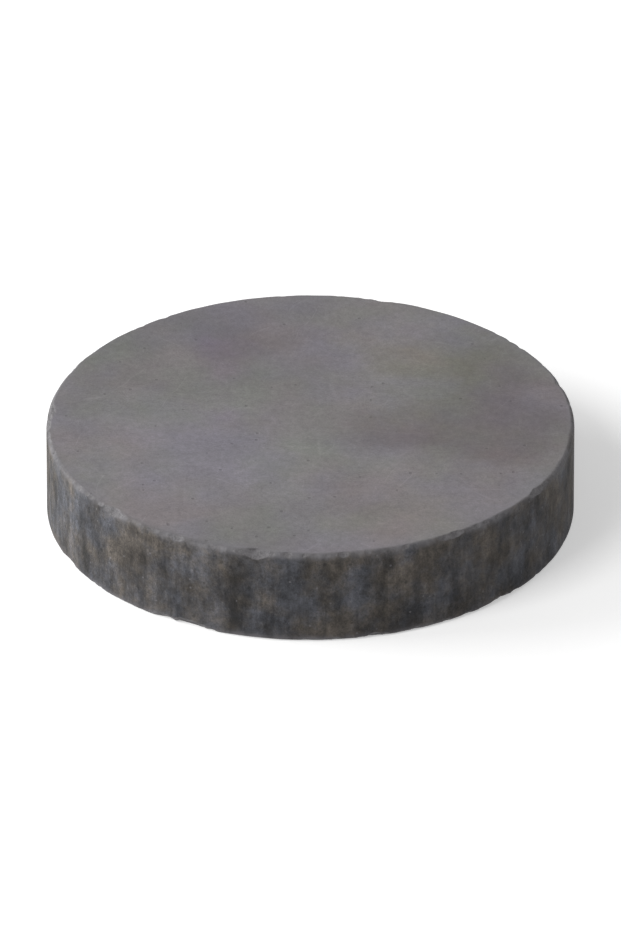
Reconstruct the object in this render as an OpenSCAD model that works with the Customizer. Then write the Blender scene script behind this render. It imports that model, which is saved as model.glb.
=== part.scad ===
// Disc magnet of sintered hard ferrite, in one solid piece.
// It is pressed and fired as a plain disc, so its rim is a true cylinder with a dark fired skin.
// Its two pole faces are ground flat, and its brittle edges are worn round and a little chipped.
// Millimetres. +Z is the disc's axis, out of the upper pole face.
// The origin is the centre of the lower pole face, on which the disc lies.

/* [Disc] */
// Outside diameter
disc_d = 16; // [10:0.5:40]
// Thickness from pole face to pole face
disc_t = 3; // [2:0.25:10]

/* [Edges] */
// Radius to which the edge round each pole face is worn
edge_r = 0.15; // [0.05:0.05:0.5]

/* [Chips] */
// Length along the edge of the largest chip
chip_length = 1.6; // [0.8:0.1:2.4]
// Depth of the largest chip, below the crest of the worn edge
chip_depth = 0.16; // [0.08:0.02:0.3]

/* [Hidden] */

// Fineness of the round forms
$fa = 2;
$fs = 0.05;

disc_r = disc_d / 2;

// The crest is the point of the worn edge that stands out furthest, at 45 degrees between rim and face
crest_slope = 45;
crest_r = disc_r - edge_r + edge_r * cos(crest_slope);
crest_z = disc_t / 2 - edge_r + edge_r * sin(crest_slope);

// Chips round each edge: bearing in degrees, then length and depth as shares of the largest chip's
upper_chips = [
    [18, 0.35, 0.40],
    [74, 0.55, 0.55],
    [131, 0.30, 0.35],
    [176, 0.80, 0.70],
    [222, 0.40, 0.45],
    [258, 0.60, 0.75],
    [303, 0.32, 0.40],
    [329, 0.50, 0.45],
];
lower_chips = [
    [9, 0.60, 0.60],
    [52, 0.34, 0.40],
    [103, 1.00, 1.00],
    [158, 0.38, 0.50],
    [205, 0.50, 0.45],
    [243, 0.90, 0.80],
    [284, 0.36, 0.42],
    [316, 0.70, 0.60],
];

// Half section of the unchipped disc: ground faces, a straight rim and a worn round at each edge
module blank_section() {
    round_centre_r = disc_r - edge_r;
    square([round_centre_r, disc_t]);
    translate([0, edge_r])
        square([disc_r, disc_t - 2 * edge_r]);
    for (z = [edge_r, disc_t - edge_r])
        translate([round_centre_r, z])
            circle(r = edge_r);
}

module blank() {
    rotate_extrude()
        blank_section();
}

// What one knock takes out of the upper edge: a shallow scallop, cut by a ball that dips below the crest
module chip(bearing, length_share, depth_share) {
    length = chip_length * length_share;
    depth = chip_depth * depth_share;
    ball_r = (pow(length / 2, 2) + pow(depth, 2)) / (2 * depth);
    stand_off = ball_r - depth;
    rotate([0, 0, bearing])
        translate([crest_r + stand_off * cos(crest_slope), 0, crest_z + stand_off * sin(crest_slope)])
            sphere(r = ball_r);
}

// The chips of one edge, measured from the disc's middle plane
module chips(list) {
    for (c = list)
        chip(c[0], c[1], c[2]);
}

module magnet_disc() {
    color([0.30, 0.29, 0.29])
        difference() {
            blank();
            translate([0, 0, disc_t / 2]) {
                chips(upper_chips);
                mirror([0, 0, 1])
                    chips(lower_chips);
            }
        }
}

magnet_disc();
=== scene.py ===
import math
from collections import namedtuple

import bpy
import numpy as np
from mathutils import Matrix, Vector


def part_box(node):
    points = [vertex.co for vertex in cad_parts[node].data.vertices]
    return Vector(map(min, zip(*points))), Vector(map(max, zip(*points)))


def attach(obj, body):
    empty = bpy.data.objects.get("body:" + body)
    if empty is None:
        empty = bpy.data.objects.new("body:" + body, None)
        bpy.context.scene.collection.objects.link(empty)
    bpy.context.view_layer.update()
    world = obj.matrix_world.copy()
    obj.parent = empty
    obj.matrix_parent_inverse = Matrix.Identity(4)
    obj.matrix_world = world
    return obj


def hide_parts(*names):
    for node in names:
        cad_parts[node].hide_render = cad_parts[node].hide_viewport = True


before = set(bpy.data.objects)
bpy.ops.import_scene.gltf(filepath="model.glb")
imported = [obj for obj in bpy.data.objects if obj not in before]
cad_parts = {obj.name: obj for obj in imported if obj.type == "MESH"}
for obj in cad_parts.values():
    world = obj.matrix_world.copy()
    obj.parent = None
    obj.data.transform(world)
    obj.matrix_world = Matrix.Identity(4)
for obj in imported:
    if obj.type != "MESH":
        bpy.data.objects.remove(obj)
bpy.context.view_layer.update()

# A disc magnet of sintered ferrite, lying on a pole face. Everything is in metres, in the CAD model's
# frame. The mesh has the CAD solid's section and chips, and adds the small nicks and uneven wear of its
# edges. One procedural material covers it: matte ground faces with soft stains, a dark fired rim, light
# edge lines and raw chips. The edge lines are partly wear and partly a painted highlight, the rim has
# painted highlights as light specks, pits are painted darker as shade, and one of the face's stains is
# partly painted shade.

NODE = "magnet_disc"
BODY = "root"
MM = 0.001
TURN = 2 * math.pi
SEED = 41

# Sizes of the disc, from the frame and from the part's source
LOW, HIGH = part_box(NODE)
DISC_R = (HIGH[0] - LOW[0]) / 2
DISC_T = HIGH[2] - LOW[2]
EDGE_R = 0.15 * MM
CHIP_LENGTH = 1.6 * MM
CHIP_DEPTH = 0.16 * MM

# Chips round each edge: bearing in degrees, then length and depth as shares of the largest chip's
UPPER_CHIPS = [
    (18, 0.35, 0.40),
    (74, 0.55, 0.55),
    (131, 0.30, 0.35),
    (176, 0.80, 0.70),
    (222, 0.40, 0.45),
    (258, 0.60, 0.75),
    (303, 0.32, 0.40),
    (329, 0.50, 0.45),
]
LOWER_CHIPS = [
    (9, 0.60, 0.60),
    (52, 0.34, 0.40),
    (103, 1.00, 1.00),
    (158, 0.38, 0.50),
    (205, 0.50, 0.45),
    (243, 0.90, 0.80),
    (284, 0.36, 0.42),
    (316, 0.70, 0.60),
]

# Flakes lost on both sides of a chip: how far aside and how big, as shares of the chip
FLAKE_ASIDE = (0.35, 0.6)
FLAKE_SIZE = (0.3, 0.7)
# Small nicks between the chips: how many an edge has, their length, and their depth as a share of that
NICKS = 150
NICK_LENGTH = (0.10 * MM, 0.42 * MM)
NICK_DEPTH = (0.07, 0.15)
# The higher this power, the rarer the long nicks
NICK_FALL = 2.5
# How raggedly chips and nicks break, as a share of their depth, and how often that raggedness is smoothed
RAGGED = 0.14
RAGGED_PASSES = 5
# The crest of an edge stands halfway between rim and face
CREST = math.radians(45)

# Sums of waves round the disc: how many, the power by which the short ones get weaker, and their reach
Waves = namedtuple("Waves", "count fall reach")
# Wander of the edge's radius, as a share of that radius
EDGE_WANDER = Waves(60, 0.5, 0.28)
# How far the fired rim falls short of a true circle, in long waves and in fine ripples along the axis
RIM_WAVES = Waves(7, 1, 0.010 * MM)
RIM_RIPPLES = Waves(240, 0.2, 0.004 * MM)

# Half width of the light line along each edge, which is partly wear and partly a painted highlight where
# the edge catches light
EDGE_LINE_WIDTH = 0.13 * MM
# How far round the edge the ground finish starts, as a share, and how deep a bite is raw all over
GROUND_FROM = 0.55
RAW_FULL = 0.010 * MM

# The mesh: columns round the axis, and rings across each part of the half section
COLUMNS = 1024
RIM_RINGS = 8
BESIDE_RINGS = 14
ROUND_RINGS = 10
# Width of the close rings beside the round, and the power by which they crowd towards it
BESIDE = 0.5 * MM
CLOSING = 1.4
# Towards the middle of a face each ring has half the columns of the last, down to these, and lies
# further in by this share of its own cells' width
HUB_COLUMNS = 16
CELL_LENGTH = 1.3

# The view: rise above the pole face in degrees, distance in diameters of the disc, and the disc's width
# as a share of the frame's
VIEW_RISE = 29.8
VIEW_DISTANCE = 32
FRAME_SHARE = 0.85
TARGET = Vector((0, 0, DISC_T / 2))

# The setting
FLOOR_SIZE = 6.0
# Just clear of the lower pole face, so that the two faces don't coincide
FLOOR_Z = -0.005 * MM
# Added to the floor only as the camera and reflections see it, so that it turns white and keeps its shadow
FLOOR_LIFT = 0.42
SKY_LIGHT = 0.26
# Softboxes: place, width and power in watts
KEY_LIGHT = (Vector((-0.150, -0.125, 0.175)), 0.12, 0.34)
SIDE_LIGHT = (Vector((-0.25, 0.05, 0.08)), 0.20, 0.80)


def srgb(red, green, blue):
    """A colour given as 8-bit sRGB values, as the linear RGBA that a shader takes."""
    def linear(value):
        share = value / 255
        return share / 12.92 if share <= 0.04045 else ((share + 0.055) / 1.055) ** 2.4
    return (linear(red), linear(green), linear(blue), 1.0)


# Colours of the ferrite, the pale floor and the white backdrop
FACE_WARM = srgb(119, 113, 115)
FACE_GREEN = srgb(114, 115, 111)
FACE_COOL = srgb(116, 113, 121)
RIM_WARM = srgb(63, 58, 53)
RIM_COOL = srgb(57, 58, 63)
# The light edges, partly wear and partly a painted highlight; the painted highlight specks on the rim take
# this colour too
WORN_AND_HIGHLIGHT = srgb(116, 114, 117)
RAW = srgb(98, 96, 98)
FLOOR_COLOUR = (0.86, 0.86, 0.86, 1)
WHITE = (1, 1, 1, 1)

# How much darker and lighter each layer makes the colour under it
FACE_CLOUDS = (0.92, 1.08)
FACE_BLOTCHES = (0.94, 1.06)
FACE_LINES = (0.94, 1.06)
FACE_GRAIN = (0.80, 1.20)
# Pits on the faces are painted darker: painted shade in their hollows
PIT_PAINTED_SHADE = 0.72
SCRATCH_SHADE = 1.16
RIM_MOTTLE = (0.42, 1.85)
RIM_STREAKS = (0.72, 1.32)
RIM_GRAIN = (0.50, 1.60)
# Pits on the rim are painted darker: painted shade in their hollows
RIM_PIT_PAINTED_SHADE = 0.55
RAW_GRAIN = (0.66, 1.40)
# How much of the light edge colour a painted highlight speck takes, and where the light edge line, partly
# wear and partly painted highlight, is faint and where it is full
PAINTED_GLINT_SHARE = 0.5
EDGE_LINE_PATCHES = (0.25, 1.0)
# The most that the cool tint takes of the face's colour
COOL_SHARE = 0.8

# Soft stains on the upper pole face: middle and reach in radii of the disc, then what the colour's red,
# green and blue are multiplied by. The second darkens the right of the face: it is partly a smudge and
# partly painted shade, where less light falls.
STAINS_AND_PAINTED_SHADE = [
    ((-0.05, -0.45), (1.00, 0.75), (1.10, 1.10, 1.10)),
    # Partly a smudge and partly painted shade: darkens the right of the face, away from the light
    ((0.66, 0.06), (0.60, 0.58), (0.71, 0.67, 0.67)),
    ((-0.36, 0.60), (0.45, 0.55), (0.84, 0.83, 0.84)),
    ((-0.34, 0.35), (0.15, 0.40), (1.03, 0.94, 1.06)),
    ((0.36, 0.42), (0.32, 0.42), (1.12, 1.13, 0.97)),
    ((0.45, -0.62), (0.45, 0.40), (1.02, 1.00, 0.95)),
    ((-0.35, -0.10), (0.40, 0.40), (0.99, 0.985, 1.02)),
]
# How deep a soft spot goes, in millimetres, and its full core and ragged outline as shares of its reach
SPOT_DEPTH = 1.5
SPOT_CORE = 0.2
SPOT_RAGGED = 0.35

# Roughness, from the low to the high end of the noise that drives it
FACE_ROUGH = (0.62, 0.78)
RIM_ROUGH = (0.95, 0.70)
RAW_ROUGH = 0.6
REFRACTION = 1.5

# Depth of the fine relief, in millimetres
FACE_LINE_DEPTH = 0.0016
FACE_GRAIN_DEPTH = 0.003
PIT_DEPTH = 0.010
SCRATCH_DEPTH = 0.002
RIM_STREAK_DEPTH = 0.008
RIM_GRAIN_DEPTH = 0.014
RAW_GRAIN_DEPTH = 0.020

# Noises: lumps a millimetre, octaves, and the strength of each octave against the last. The shift, in
# millimetres, keeps a noise apart from the others, and the stretch crowds its lumps along X, Y or Z.
Noise = namedtuple("Noise", "per_mm octaves roughness shift stretch", defaults=((0, 0, 0), (1, 1, 1)))
FINE_GRAIN = Noise(16, 3, 0.7)
COARSE_GRAIN = Noise(5, 4, 0.7, shift=(5, 9, 1))
CLOUDS = Noise(0.22, 4, 0.6, shift=(13, 2, 8))
BLOTCHES = Noise(0.9, 3, 0.6, shift=(31, 7, 4))
WARM_AREAS = Noise(0.30, 3, 0.5)
COOL_AREAS = Noise(0.42, 3, 0.5, shift=(9, 4, 17))
SPOT_OUTLINES = Noise(0.35, 5, 0.6, shift=(2, 11, 6))
PRESS_STREAKS = Noise(1, 4, 0.65, stretch=(2.8, 2.8, 0.25))
MOTTLING = Noise(1, 6, 0.72, stretch=(1, 1, 0.6))
TINT_PATCHES = Noise(0.7, 4, 0.65, shift=(3, 21, 5))
EDGE_LINE_NOISE = Noise(1.3, 4, 0.7, shift=(1, 2, 40))
GRIND_MARKS = Noise(1, 3, 0.65)
# Share of the coarse grain in the whole
COARSE_SHARE = 0.5

# Where most of a noise lies, and the values between which what some noises drive goes from none to full
NOISE_LOW = 0.36
NOISE_HIGH = 0.64
COOL_FROM = (0.42, 0.68)
PATCH_FROM = (0.4, 0.6)
EDGE_LINE_FROM = (0.38, 0.62)
SCRATCHED_FROM = (0.5, 0.62)

# Specks: cells a millimetre, a speck's radius as a share of a cell, the share of the cells that have one,
# and the shift in millimetres
Specks = namedtuple("Specks", "per_mm radius share shift", defaults=((0, 0, 0),))
FACE_PITS = Specks(2.6, 0.16, 0.22)
RIM_PITS = Specks(3.6, 0.26, 0.30, shift=(4, 1, 9))
# Painted highlights: light specks that stand for grains catching the light
PAINTED_GLINTS = Specks(5, 0.22, 0.12, shift=(6, 6, 6))
# How far out a speck is full, as a share of its radius
SPECK_CORE = 0.6

# Scratches run between the cells of a drawn-out net: their bearing in degrees, half width as a share of a
# cell, and the noise of the areas that have them
Scratches = namedtuple("Scratches", "bearing width areas")
SCRATCHES = [
    Scratches(24, 0.012, Noise(0.5, 2, 0.5, shift=(24, 5, 9))),
    Scratches(107, 0.010, Noise(0.5, 2, 0.5, shift=(107, 5, 9))),
]
# The net's cells a millimetre, how they are drawn out, and how many bends it has a millimetre
NET_CELLS = 0.55
NET_STRETCH = (1, 0.14, 1)
NET_BENDS = 0.4

# Centres, in millimetres, of the two sweeps of the grinding wheel, the share of the second sweep, the
# lines a millimetre, and how slowly they change along their length
SWEEP_CENTRES = ((70, 38, 0), (-52, 64, 0))
SECOND_SWEEP = 0.45
GRIND_LINES = 10.0
GRIND_ALONG = 1 / 420


# Mesh

def wander(angle, rng, waves):
    """A smooth closed curve between about -1 and 1, as a sum of waves."""
    total = np.zeros_like(angle)
    for count in range(1, waves.count + 1):
        total += np.cos(count * angle + rng.uniform(0, TURN)) * rng.uniform(0.5, 1) / count ** waves.fall
    return total / np.abs(total).max()


def lumps(shape, rng):
    """A smooth random field of rings by columns, closed round the columns, with a spread of 1."""
    field = rng.normal(size=shape)
    for _ in range(RAGGED_PASSES):
        field = (np.roll(field, 1, 1) + 2 * field + np.roll(field, -1, 1)) / 4
        padded = np.pad(field, ((1, 1), (0, 0)), mode="edge")
        field = (padded[:-2] + 2 * padded[1:-1] + padded[2:]) / 4
    return field / field.std()


def half_section(edge_r, rim_r):
    """Rings of the upper half, from the rim's middle over the edge and a little way in on the pole face.

    edge_r and rim_r hold the edge radius and the rim radius of each column. Returns four arrays of rings
    by columns: radius, height, how far round the edge (0 on the rim, 1 on the face), and way from the
    crest.
    """
    crest = edge_r * CREST
    side_z = DISC_T - EDGE_R - BESIDE
    face_r = DISC_R - EDGE_R - BESIDE
    closer = 1 - (1 - np.linspace(0, 1, BESIDE_RINGS, endpoint=False)) ** CLOSING
    heights = list(np.linspace(DISC_T / 2, side_z, RIM_RINGS, endpoint=False))
    heights += [side_z + (DISC_T - edge_r - side_z) * share for share in closer]
    rings = [(rim_r, height, 0, DISC_T - edge_r - height + crest) for height in heights]
    for turn in np.linspace(0, math.pi / 2, ROUND_RINGS):
        radius = rim_r - edge_r * (1 - math.cos(turn))
        height = DISC_T - edge_r * (1 - math.sin(turn))
        rings.append((radius, height, turn / (math.pi / 2), np.abs(edge_r * turn - crest)))
    for share in closer[::-1]:
        radius = face_r + (rim_r - edge_r - face_r) * share
        rings.append((radius, DISC_T, 1, rim_r - edge_r - radius + crest))
    return [np.array([ring[part] + np.zeros(COLUMNS) for ring in rings]) for part in range(4)]


def all_bites(chips, rng):
    """The chips of one edge, the smaller flakes beside each, and its nicks: bearing, length and depth."""
    rows = []
    for bearing, length, depth in chips:
        rows.append((math.radians(bearing), CHIP_LENGTH * length, CHIP_DEPTH * depth))
    for bearing, length, depth in list(rows):
        for side in (-1, 1):
            aside = side * length * rng.uniform(*FLAKE_ASIDE) / DISC_R
            size = rng.uniform(*FLAKE_SIZE)
            rows.append(((bearing + aside) % TURN, length * size, depth * size))
    for _ in range(NICKS):
        length = NICK_LENGTH[0] + (NICK_LENGTH[1] - NICK_LENGTH[0]) * rng.random() ** NICK_FALL
        rows.append((rng.uniform(0, TURN), length, length * rng.uniform(*NICK_DEPTH)))
    return rows


def bite(points, row, edge_r, ragged):
    """Pushes the points inside one chip's ball out to its surface, and returns how far each was moved."""
    bearing, length, depth = row
    ball_r = ((length / 2) ** 2 + depth ** 2) / (2 * depth)
    crest_in = edge_r[int(bearing / TURN * COLUMNS)] * (1 - math.cos(CREST))
    out = (ball_r - depth) * math.cos(CREST) - crest_in
    reach = DISC_R + out
    centre = np.array([reach * math.cos(bearing), reach * math.sin(bearing), DISC_T + out])
    away = points - centre
    distance = np.linalg.norm(away, axis=-1)
    sunk = np.clip(ball_r - distance + ragged * depth, 0, None)
    points += away * (sunk / distance)[..., None]
    return sunk


def half_disc(chips, rim_r, rng):
    """Points of the upper half as rings by columns, and the ground, edge line and raw value of each."""
    angle = np.linspace(0, TURN, COLUMNS, endpoint=False)
    edge_r = EDGE_R * (1 + EDGE_WANDER.reach * wander(angle, rng, EDGE_WANDER))
    radius, height, up, way = half_section(edge_r, rim_r)
    points = np.stack([radius * np.cos(angle), radius * np.sin(angle), height], -1)
    ragged = RAGGED * lumps(height.shape, rng)
    raw = np.zeros_like(height)
    for row in all_bites(chips, rng):
        raw = np.maximum(raw, bite(points, row, edge_r, ragged))
    points[..., 2] = np.minimum(points[..., 2], DISC_T)
    ground = np.clip((up - GROUND_FROM) / (1 - GROUND_FROM), 0, 1)
    # The light line along each edge: partly wear and partly a painted highlight where the edge catches
    # light
    worn = np.exp(-(way / EDGE_LINE_WIDTH) ** 2)
    return points, ground, worn, np.clip(raw / RAW_FULL, 0, 1)


def face_middle(outer, height, points):
    """Fills a pole face inside its outermost ring of point numbers, and returns the triangles.

    The new points go to the end of the list. Each ring has half the columns of the one outside it.
    """
    triangles = []
    radius = math.hypot(*points[outer[0]][:2])
    while len(outer) > HUB_COLUMNS:
        count = len(outer) // 2
        radius -= CELL_LENGTH * TURN * radius / count
        first = len(points)
        inner = [first + column for column in range(count)]
        for column in range(count):
            angle = TURN * column / count
            points.append((radius * math.cos(angle), radius * math.sin(angle), height))
        for column in range(count):
            here, ahead = inner[column], inner[(column + 1) % count]
            start, middle = outer[2 * column:2 * column + 2]
            stop = outer[(2 * column + 2) % len(outer)]
            triangles += [(start, middle, here), (middle, ahead, here), (middle, stop, ahead)]
        outer = inner
    hub = len(points)
    points.append((0, 0, height))
    triangles += [(hub, a, b) for a, b in zip(outer, outer[1:] + outer[:1])]
    return triangles


def rim_radius(rng):
    """The rim's radius in each column: full where the rim stands out furthest, and less elsewhere."""
    angle = np.linspace(0, TURN, COLUMNS, endpoint=False)
    fall_short = np.zeros(COLUMNS)
    for waves in (RIM_WAVES, RIM_RIPPLES):
        fall_short += waves.reach * (1 + wander(angle, rng, waves)) / 2
    return DISC_R - fall_short + fall_short.min()


def disc_mesh():
    """The closed surface of the disc: rings over both edges and the rim, and the middles of both faces."""
    rng = np.random.default_rng(SEED)
    rim_r = rim_radius(rng)
    upper = half_disc(UPPER_CHIPS, rim_r, rng)
    lower = half_disc(LOWER_CHIPS, rim_r, rng)
    lower[0][..., 2] = DISC_T - lower[0][..., 2]
    rows, ground, worn, raw = (np.concatenate([low[:0:-1], high]) for low, high in zip(lower, upper))

    numbers = np.arange(rows.shape[0] * COLUMNS).reshape(-1, COLUMNS)
    ahead = np.roll(numbers, -1, 1)
    faces = np.stack([numbers[:-1], ahead[:-1], ahead[1:], numbers[1:]], -1).reshape(-1, 4).tolist()
    points = rows.reshape(-1, 3).tolist()
    faces += face_middle(numbers[-1].tolist(), DISC_T, points)
    faces += [face[::-1] for face in face_middle(numbers[0].tolist(), 0, points)]

    mesh = bpy.data.meshes.new("magnet_disc_surface")
    mesh.from_pydata(points, [], faces)
    for name, values, in_middle in (("ground", ground, 1), ("worn", worn, 0), ("raw", raw, 0)):
        attribute = mesh.attributes.new(name, "FLOAT", "POINT")
        filled = np.full(len(points), in_middle, dtype=float)
        filled[:values.size] = values.ravel()
        attribute.data.foreach_set("value", filled)
    mesh.polygons.foreach_set("use_smooth", [True] * len(mesh.polygons))
    mesh.update()
    return mesh


# Material

class Graph:
    """A node tree, with a short call for each kind of node used here.

    Sockets that share a name with others of their node are given by number.
    """

    def __init__(self, tree):
        self.tree = tree
        tree.nodes.clear()

    def add(self, kind, inputs, output=None, **settings):
        """Adds a node, sets or links its inputs, and returns the output asked for, if any."""
        node = self.tree.nodes.new(kind)
        for key, value in settings.items():
            setattr(node, key, value)
        for key, value in inputs.items():
            if isinstance(value, bpy.types.NodeSocket):
                self.tree.links.new(value, node.inputs[key])
            else:
                node.inputs[key].default_value = value
        return None if output is None else node.outputs[output]

    def place(self):
        """The point on the disc in millimetres."""
        metres = self.add("ShaderNodeTexCoord", {}, "Object")
        return self.stretch(metres, (1 / MM, 1 / MM, 1 / MM))

    def stretch(self, vector, factors):
        """The vector or colour multiplied by three factors."""
        return self.add("ShaderNodeVectorMath", {0: vector, 1: factors}, "Vector", operation="MULTIPLY")

    def shift(self, vector, offset):
        """The vector moved by an offset."""
        return self.add("ShaderNodeVectorMath", {0: vector, 1: offset}, "Vector", operation="ADD")

    def length(self, vector):
        """The length of the vector."""
        return self.add("ShaderNodeVectorMath", {0: vector}, "Value", operation="LENGTH")

    def attribute(self, name):
        """A value that the mesh holds at each point."""
        return self.add("ShaderNodeAttribute", {}, "Fac", attribute_name=name)

    def math(self, operation, a, b):
        """A sum, product or the like of two numbers."""
        return self.add("ShaderNodeMath", {0: a, 1: b}, "Value", operation=operation)

    def noise(self, vector, kind):
        """One of the noises named above, from 0 to 1."""
        moved = self.stretch(self.shift(vector, kind.shift), kind.stretch)
        inputs = {"Vector": moved, "Scale": kind.per_mm}
        inputs |= {"Detail": kind.octaves, "Roughness": kind.roughness}
        return self.add("ShaderNodeTexNoise", inputs, "Fac")

    def span(self, value, out_low, out_high, in_low=NOISE_LOW, in_high=NOISE_HIGH):
        """Maps in_low..in_high to out_low..out_high, and holds the ends beyond them."""
        inputs = {"Value": value, "From Min": in_low, "From Max": in_high}
        inputs |= {"To Min": out_low, "To Max": out_high}
        return self.add("ShaderNodeMapRange", inputs, "Result", clamp=True)

    def mix(self, factor, a, b):
        """Colour a where factor is 0, and b where it is 1."""
        return self.add("ShaderNodeMix", {0: factor, 6: a, 7: b}, 2, data_type="RGBA")

    def blend(self, factor, a, b):
        """Number a where factor is 0, and b where it is 1."""
        return self.add("ShaderNodeMix", {0: factor, 2: a, 3: b}, 0, data_type="FLOAT")

    def shade(self, colour, factor):
        """The colour made lighter or darker by a factor."""
        return self.add("ShaderNodeVectorMath", {0: colour, "Scale": factor}, "Vector", operation="SCALE")


def grinding(graph, place, centre):
    """Fine curved lines that a grinding wheel with this centre leaves on a pole face, from 0 to 1."""
    offset = graph.shift(place, tuple(-value for value in centre))
    flat = graph.stretch(offset, (1, 1, 0))
    across = graph.math("MULTIPLY", graph.length(flat), GRIND_LINES)
    tangent = (centre[1] * GRIND_ALONG, -centre[0] * GRIND_ALONG, 0)
    along = graph.add("ShaderNodeVectorMath", {0: flat, 1: tangent}, "Value", operation="DOT_PRODUCT")
    lines = graph.add("ShaderNodeCombineXYZ", {"X": across, "Y": along}, "Vector")
    return graph.noise(lines, GRIND_MARKS)


def scratches(graph, place, kind):
    """Sparse fine scratches that run roughly one way, 1 on a scratch and 0 beside it."""
    bearing = math.radians(kind.bearing)
    turned = graph.add("ShaderNodeVectorRotate", {"Vector": place, "Angle": bearing}, "Vector",
                       rotation_type="Z_AXIS")
    bends = graph.add("ShaderNodeTexNoise", {"Vector": turned, "Scale": NET_BENDS}, "Color")
    bent = graph.stretch(graph.shift(turned, bends), NET_STRETCH)
    to_edge = graph.add("ShaderNodeTexVoronoi", {"Vector": bent, "Scale": NET_CELLS}, "Distance",
                        feature="DISTANCE_TO_EDGE", voronoi_dimensions="2D")
    line = graph.span(to_edge, 1, 0, 0, kind.width)
    here = graph.span(graph.noise(turned, kind.areas), 0, 1, *SCRATCHED_FROM)
    return graph.math("MULTIPLY", line, here)


def specks(graph, place, kind):
    """Small round specks: 1 inside a speck and 0 outside."""
    inputs = {"Vector": graph.shift(place, kind.shift), "Scale": kind.per_mm}
    distance = graph.add("ShaderNodeTexVoronoi", inputs, "Distance")
    colour = graph.add("ShaderNodeTexVoronoi", inputs, "Color")
    dot = graph.span(distance, 1, 0, kind.radius * SPECK_CORE, kind.radius)
    pick = graph.add("ShaderNodeSeparateColor", {"Color": colour}, "Red")
    return graph.math("MULTIPLY", dot, graph.math("GREATER_THAN", pick, 1 - kind.share))


def soft_spot(graph, place, ragged, middle, reach):
    """A soft spot on the upper pole face, for the stains and the painted shade: 1 in its middle, and 0
    beyond its reach.
    """
    to_middle = (-middle[0] * DISC_R / MM, -middle[1] * DISC_R / MM, -DISC_T / MM)
    shares = (MM / (reach[0] * DISC_R), MM / (reach[1] * DISC_R), 1 / SPOT_DEPTH)
    distance = graph.length(graph.stretch(graph.shift(place, to_middle), shares))
    return graph.span(graph.math("ADD", distance, ragged), 1, 0, SPOT_CORE, 1)


def face_tints(graph, place):
    """Colour of a pole face before its fine marks: faint warm, green and cool areas, and soft stains, one
    of them partly painted shade.
    """
    warm_area = graph.span(graph.noise(place, WARM_AREAS), 0, 1)
    cool_area = graph.span(graph.noise(place, COOL_AREAS), 0, COOL_SHARE, *COOL_FROM)
    colour = graph.mix(warm_area, FACE_GREEN, FACE_WARM)
    colour = graph.mix(cool_area, colour, FACE_COOL)
    ragged = graph.span(graph.noise(place, SPOT_OUTLINES), -SPOT_RAGGED, SPOT_RAGGED)
    # The stains, one of which, on the right, is partly painted shade
    for middle, reach, factors in STAINS_AND_PAINTED_SHADE:
        here = soft_spot(graph, place, ragged, middle, reach)
        colour = graph.mix(here, colour, graph.stretch(colour, factors))
    return colour


def ground_face(graph, place, grain):
    """Colour, roughness and relief of a pole face: tints and stains, clouds, grinding lines, pits painted
    darker as shade, and scratches.
    """
    lines = graph.blend(SECOND_SWEEP, *(grinding(graph, place, centre) for centre in SWEEP_CENTRES))
    clouds = graph.noise(place, CLOUDS)
    blotches = graph.noise(place, BLOTCHES)
    pits = specks(graph, place, FACE_PITS)
    scratch = graph.math("MAXIMUM", *(scratches(graph, place, kind) for kind in SCRATCHES))

    colour = face_tints(graph, place)
    colour = graph.shade(colour, graph.span(clouds, *FACE_CLOUDS))
    colour = graph.shade(colour, graph.span(blotches, *FACE_BLOTCHES))
    colour = graph.shade(colour, graph.span(lines, *FACE_LINES))
    colour = graph.shade(colour, graph.span(grain, *FACE_GRAIN))
    # Pits painted darker: painted shade in their hollows
    colour = graph.shade(colour, graph.blend(pits, 1.0, PIT_PAINTED_SHADE))
    colour = graph.shade(colour, graph.blend(scratch, 1.0, SCRATCH_SHADE))

    relief = graph.span(lines, 0, FACE_LINE_DEPTH)
    relief = graph.math("ADD", relief, graph.span(grain, 0, FACE_GRAIN_DEPTH))
    relief = graph.math("SUBTRACT", relief, graph.math("MULTIPLY", pits, PIT_DEPTH))
    relief = graph.math("SUBTRACT", relief, graph.math("MULTIPLY", scratch, SCRATCH_DEPTH))
    return colour, graph.span(lines, *FACE_ROUGH), relief


def fired_rim(graph, place, grain):
    """Colour, roughness and relief of the rim: dark and mottled, streaked along the axis by the press, with
    painted highlights as light specks and pits painted darker as shade.
    """
    streaks = graph.noise(place, PRESS_STREAKS)
    mottle = graph.noise(place, MOTTLING)
    patches = graph.noise(place, TINT_PATCHES)
    painted_glints = specks(graph, place, PAINTED_GLINTS)
    pits = specks(graph, place, RIM_PITS)

    colour = graph.mix(graph.span(patches, 0, 1, *PATCH_FROM), RIM_COOL, RIM_WARM)
    colour = graph.shade(colour, graph.span(mottle, *RIM_MOTTLE))
    colour = graph.shade(colour, graph.span(streaks, *RIM_STREAKS))
    colour = graph.shade(colour, graph.span(grain, *RIM_GRAIN))
    # Pits painted darker: painted shade in their hollows
    colour = graph.shade(colour, graph.blend(pits, 1.0, RIM_PIT_PAINTED_SHADE))
    # Painted highlights: light specks where grains would catch the light
    colour = graph.mix(graph.math("MULTIPLY", painted_glints, PAINTED_GLINT_SHARE), colour, WORN_AND_HIGHLIGHT)

    relief = graph.span(streaks, 0, RIM_STREAK_DEPTH)
    relief = graph.math("ADD", relief, graph.span(grain, 0, RIM_GRAIN_DEPTH))
    relief = graph.math("SUBTRACT", relief, graph.math("MULTIPLY", pits, PIT_DEPTH))
    return colour, graph.span(mottle, *RIM_ROUGH), relief


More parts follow.
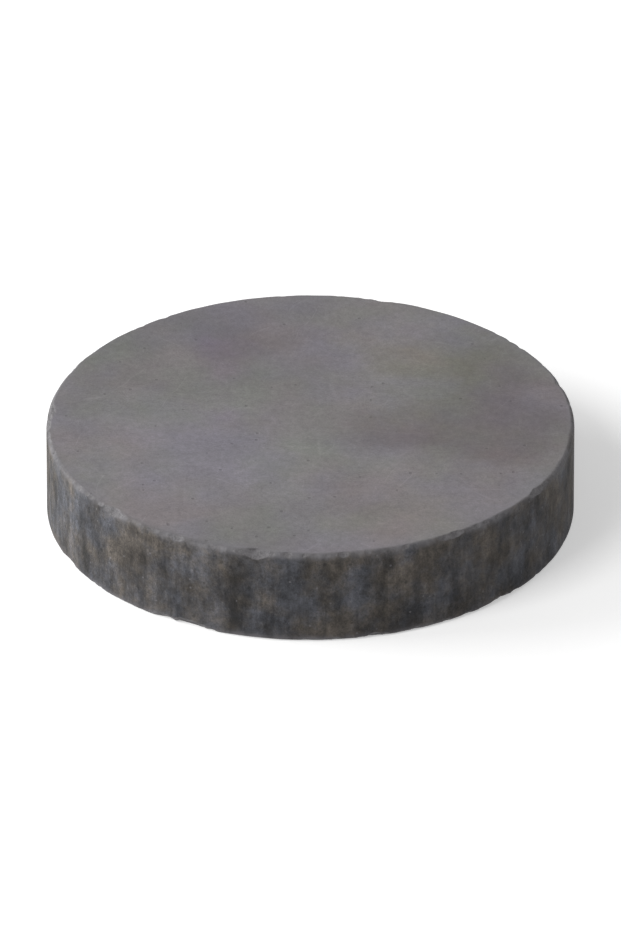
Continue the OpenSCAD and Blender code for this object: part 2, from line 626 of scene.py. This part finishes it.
def ferrite():
    """Sintered ferrite: ground on the faces, as fired on the rim, light on the edges from wear and a
    painted highlight, raw in chips.
    """
    material = bpy.data.materials.new("ferrite")
    material.use_nodes = True
    graph = Graph(material.node_tree)
    place = graph.place()
    grain = graph.blend(COARSE_SHARE, graph.noise(place, FINE_GRAIN), graph.noise(place, COARSE_GRAIN))
    face_colour, face_rough, face_relief = ground_face(graph, place, grain)
    rim_colour, rim_rough, rim_relief = fired_rim(graph, place, grain)

    ground = graph.attribute("ground")
    raw = graph.attribute("raw")
    # The light edge line: partly wear and partly a painted highlight where the edge catches light
    uneven = graph.span(graph.noise(place, EDGE_LINE_NOISE), *EDGE_LINE_PATCHES, *EDGE_LINE_FROM)
    worn = graph.math("MULTIPLY", graph.attribute("worn"), uneven)
    colour = graph.mix(ground, rim_colour, face_colour)
    colour = graph.mix(worn, colour, WORN_AND_HIGHLIGHT)
    colour = graph.mix(raw, colour, graph.shade(RAW[:3], graph.span(grain, *RAW_GRAIN)))
    rough = graph.blend(raw, graph.blend(ground, rim_rough, face_rough), RAW_ROUGH)
    relief = graph.blend(ground, rim_relief, face_relief)
    relief = graph.blend(raw, relief, graph.span(grain, 0, RAW_GRAIN_DEPTH))
    normal = graph.add("ShaderNodeBump", {"Strength": 1.0, "Distance": MM, "Height": relief}, "Normal")

    inputs = {"Base Color": colour, "Roughness": rough, "Normal": normal, "IOR": REFRACTION}
    shader = graph.add("ShaderNodeBsdfPrincipled", inputs, "BSDF")
    graph.add("ShaderNodeOutputMaterial", {"Surface": shader})
    return material


# Setting

def seen(graph):
    """1 for rays that show the backdrop, straight or reflected, and 0 for those that only give light."""
    camera_ray = graph.add("ShaderNodeLightPath", {}, "Is Camera Ray")
    glossy_ray = graph.add("ShaderNodeLightPath", {}, "Is Glossy Ray")
    clear_ray = graph.add("ShaderNodeLightPath", {}, "Is Transmission Ray")
    return graph.math("MAXIMUM", camera_ray, graph.math("MAXIMUM", glossy_ray, clear_ray))


def floor():
    """A plain pale floor, wide enough to fill every view."""
    half = FLOOR_SIZE / 2
    corners = [(x * half, y * half, FLOOR_Z) for x, y in ((-1, -1), (1, -1), (1, 1), (-1, 1))]
    mesh = bpy.data.meshes.new("floor")
    mesh.from_pydata(corners, [], [(0, 1, 2, 3)])
    plane = bpy.data.objects.new("floor", mesh)
    bpy.context.scene.collection.objects.link(plane)
    material = bpy.data.materials.new("pale_floor")
    material.use_nodes = True
    graph = Graph(material.node_tree)
    plain = graph.add("ShaderNodeBsdfDiffuse", {"Color": FLOOR_COLOUR}, "BSDF")
    lift = graph.add("ShaderNodeEmission", {"Strength": FLOOR_LIFT}, "Emission")
    lifted = graph.add("ShaderNodeAddShader", {0: plain, 1: lift}, "Shader")
    shown = graph.add("ShaderNodeMixShader", {0: seen(graph), 1: plain, 2: lifted}, "Shader")
    graph.add("ShaderNodeOutputMaterial", {"Surface": shown})
    mesh.materials.append(material)


def sky():
    """An even soft light from all round, whose backdrop is white."""
    world = bpy.data.worlds.new("studio")
    bpy.context.scene.world = world
    world.use_nodes = True
    graph = Graph(world.node_tree)
    strength = graph.blend(seen(graph), SKY_LIGHT, 1.0)
    background = graph.add("ShaderNodeBackground", {"Color": WHITE, "Strength": strength}, "Background")
    graph.add("ShaderNodeOutputWorld", {"Surface": background})


def softbox(name, place, width, power):
    """A square area light at a place, turned to the middle of the disc."""
    light = bpy.data.lights.new(name, "AREA")
    light.size = width
    light.energy = power
    lamp = bpy.data.objects.new(name, light)
    lamp.location = place
    lamp.rotation_euler = (TARGET - place).to_track_quat("-Z", "Y").to_euler()
    bpy.context.scene.collection.objects.link(lamp)


def camera():
    """The photograph's view of one disc: as far away in diameters, and as high above its pole face."""
    data = bpy.data.cameras.new("camera")
    data.sensor_fit = "HORIZONTAL"
    data.lens = data.sensor_width * FRAME_SHARE * VIEW_DISTANCE
    data.clip_end = 2 * FLOOR_SIZE
    rise = math.radians(VIEW_RISE)
    away = Vector((0, -math.cos(rise), math.sin(rise)))
    eye = bpy.data.objects.new("camera", data)
    eye.location = TARGET + away * VIEW_DISTANCE * 2 * DISC_R
    eye.rotation_euler = (-away).to_track_quat("-Z", "Y").to_euler()
    bpy.context.scene.collection.objects.link(eye)
    bpy.context.scene.camera = eye


def disc():
    """The disc as one piece, in the place of its CAD node."""
    mesh = disc_mesh()
    mesh.materials.append(ferrite())
    piece = bpy.data.objects.new("magnet_disc_surface", mesh)
    bpy.context.scene.collection.objects.link(piece)
    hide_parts(NODE)
    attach(piece, BODY)


disc()
floor()
sky()
softbox("key", *KEY_LIGHT)
softbox("side", *SIDE_LIGHT)
camera()
bpy.context.scene.view_settings.view_transform = "Standard"
